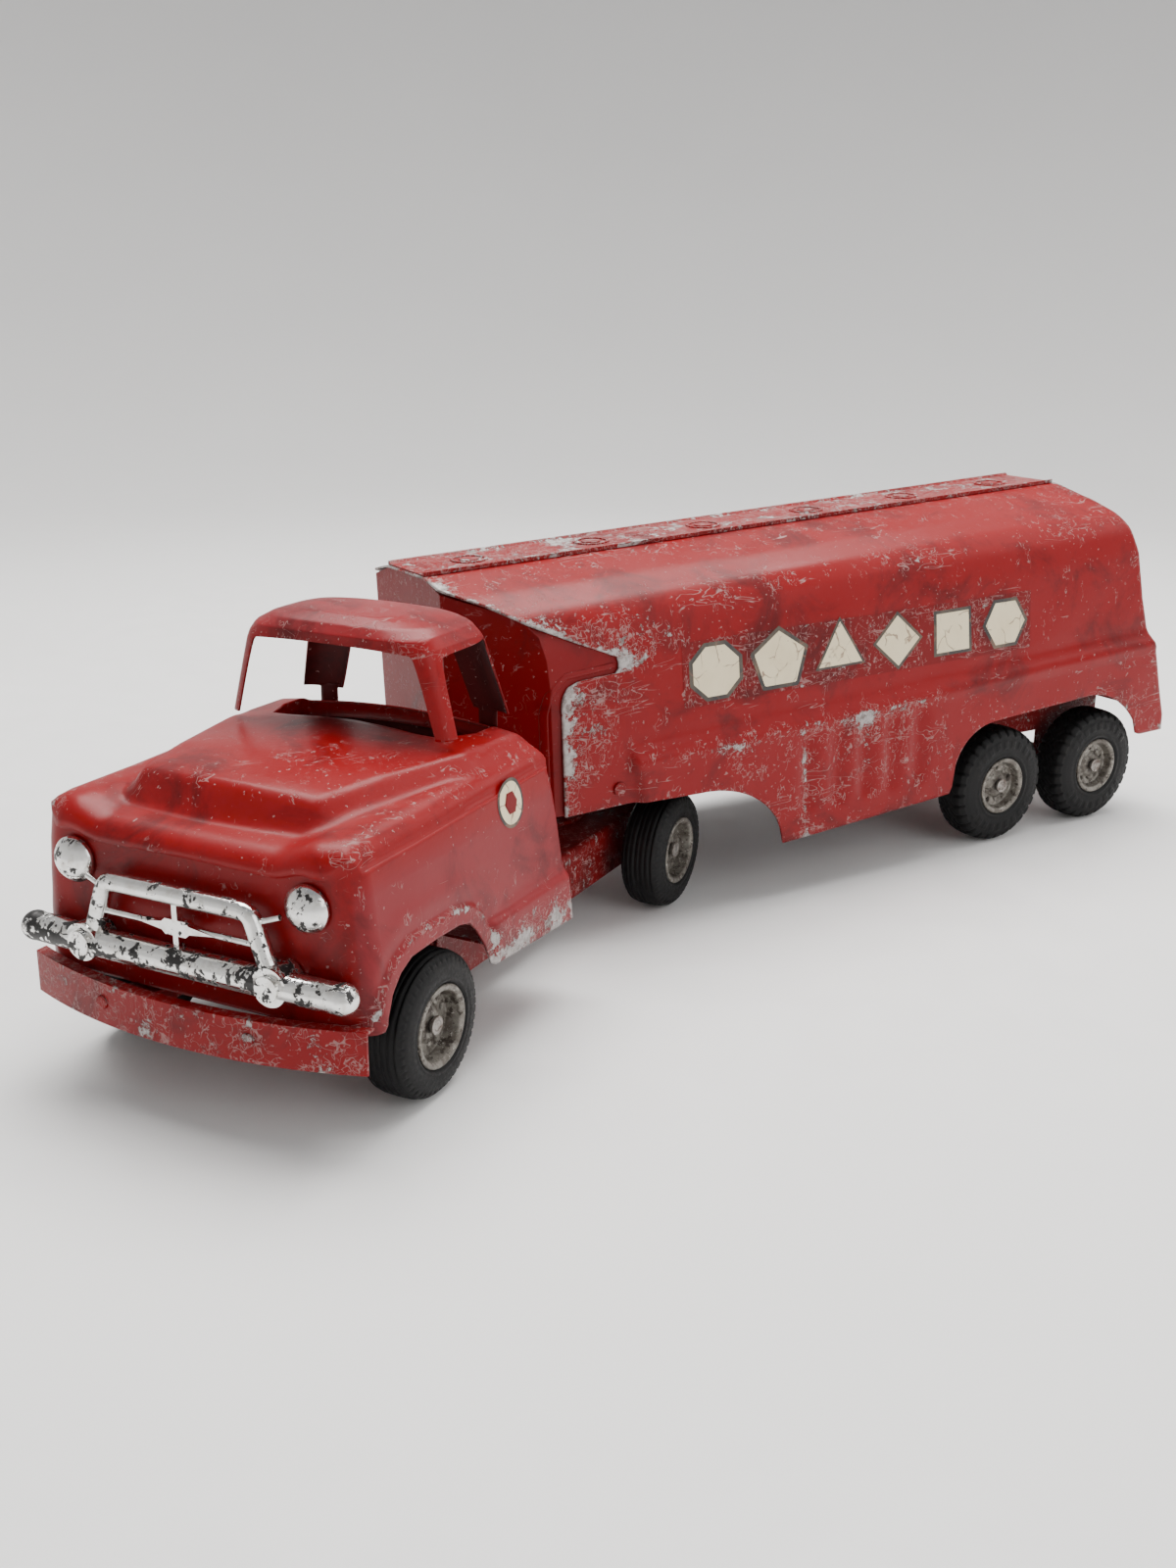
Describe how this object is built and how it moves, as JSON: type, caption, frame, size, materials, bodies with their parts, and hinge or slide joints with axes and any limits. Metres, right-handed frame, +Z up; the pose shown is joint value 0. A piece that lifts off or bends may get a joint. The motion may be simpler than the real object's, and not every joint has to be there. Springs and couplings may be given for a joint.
{
  "type": "toy tanker truck",
  "caption": "Pressed-steel toy tractor and streamlined tank trailer that pivots on a fifth wheel, with spinning wheels on fixed axles.",
  "frame": {"origin": "on the ground, on the axis of the king pin that joins tractor and trailer", "axes": "+X from the trailer's tail towards its nose, +Y to the trailer's left, +Z up"},
  "size_m": [0.6236, 0.2716, 0.1817],
  "materials": {
    "red_enamel": "worn gloss enamel, scratched and chipped",
    "worn_chrome": "bright plating worn through to black in patches",
    "bare_steel": "dull steel",
    "rubber": "hard black rubber",
    "wheel_steel": "grey painted pressed steel, dusty and worn"
  },
  "bodies": {
    "trailer": {"tank_shell": "red_enamel", "catwalk": "red_enamel", "nose_panel": "red_enamel", "rear_panel": "red_enamel", "front_bolster": "red_enamel", "coupling_cup": "red_enamel", "king_pin": "bare_steel", "king_pin_clip": "bare_steel", "shell_screws": "red_enamel", "tandem_bracket": "red_enamel", "cross_straps": "red_enamel", "tandem_front_axle": "bare_steel", "tandem_rear_axle": "bare_steel", "tandem_front_axle_caps": "bare_steel", "tandem_rear_axle_caps": "bare_steel"},
    "tractor": {"tractor_frame": "red_enamel", "fifth_wheel_plate": "red_enamel", "cab_body": "red_enamel", "cab_roof": "red_enamel", "front_bumper": "red_enamel", "bumper_brackets": "red_enamel", "bumper_rivets": "red_enamel", "grille_guard": "worn_chrome", "headlight_left": "worn_chrome", "headlight_right": "worn_chrome", "cab_mounts": "red_enamel", "frame_rivets": "red_enamel", "front_axle": "bare_steel", "drive_axle": "bare_steel", "front_axle_caps": "bare_steel", "drive_axle_caps": "bare_steel"},
    "front_wheel_left": {"front_tyre_left": "rubber", "front_wheel_left": "wheel_steel"},
    "front_wheel_right": {"front_tyre_right": "rubber", "front_wheel_right": "wheel_steel"},
    "drive_wheel_left": {"drive_tyre_left": "rubber", "drive_wheel_left": "wheel_steel"},
    "drive_wheel_right": {"drive_tyre_right": "rubber", "drive_wheel_right": "wheel_steel"},
    "tandem_front_wheel_left": {"tandem_front_tyre_left": "rubber", "tandem_front_wheel_left": "wheel_steel"},
    "tandem_front_wheel_right": {"tandem_front_tyre_right": "rubber", "tandem_front_wheel_right": "wheel_steel"},
    "tandem_rear_wheel_left": {"tandem_rear_tyre_left": "rubber", "tandem_rear_wheel_left": "wheel_steel"},
    "tandem_rear_wheel_right": {"tandem_rear_tyre_right": "rubber", "tandem_rear_wheel_right": "wheel_steel"}
  },
  "joints": [
    {"name": "fifth_wheel_turn", "type": "hinge", "parent": "trailer", "child": "tractor", "pos_m": [0, 0, 0.0408], "axis": [0, 0, 1], "range_deg": [-105.5, 44.5]},
    {"name": "front_wheel_left_spin", "type": "hinge", "parent": "tractor", "child": "front_wheel_left", "pos_m": [0.13894, 0.15148, 0.0276], "axis": [-0.5075, 0.8616, 0], "continuous": true},
    {"name": "front_wheel_right_spin", "type": "hinge", "parent": "tractor", "child": "front_wheel_right", "pos_m": [0.19985, 0.04808, 0.0276], "axis": [-0.5075, 0.8616, 0], "continuous": true},
    {"name": "drive_wheel_left_spin", "type": "hinge", "parent": "tractor", "child": "drive_wheel_left", "pos_m": [-0.04372, 0.04388, 0.0276], "axis": [-0.5075, 0.8616, 0], "continuous": true},
    {"name": "drive_wheel_right_spin", "type": "hinge", "parent": "tractor", "child": "drive_wheel_right", "pos_m": [0.01718, -0.05951, 0.0276], "axis": [-0.5075, 0.8616, 0], "continuous": true},
    {"name": "tandem_front_wheel_left_spin", "type": "hinge", "parent": "trailer", "child": "tandem_front_wheel_left", "pos_m": [-0.25, 0.06, 0.0307], "axis": [0, 1, 0], "continuous": true},
    {"name": "tandem_front_wheel_right_spin", "type": "hinge", "parent": "trailer", "child": "tandem_front_wheel_right", "pos_m": [-0.25, -0.06, 0.0307], "axis": [0, 1, 0], "continuous": true},
    {"name": "tandem_rear_wheel_left_spin", "type": "hinge", "parent": "trailer", "child": "tandem_rear_wheel_left", "pos_m": [-0.3229, 0.06, 0.0307], "axis": [0, 1, 0], "continuous": true},
    {"name": "tandem_rear_wheel_right_spin", "type": "hinge", "parent": "trailer", "child": "tandem_rear_wheel_right", "pos_m": [-0.3229, -0.06, 0.0307], "axis": [0, 1, 0], "continuous": true}
  ]
}
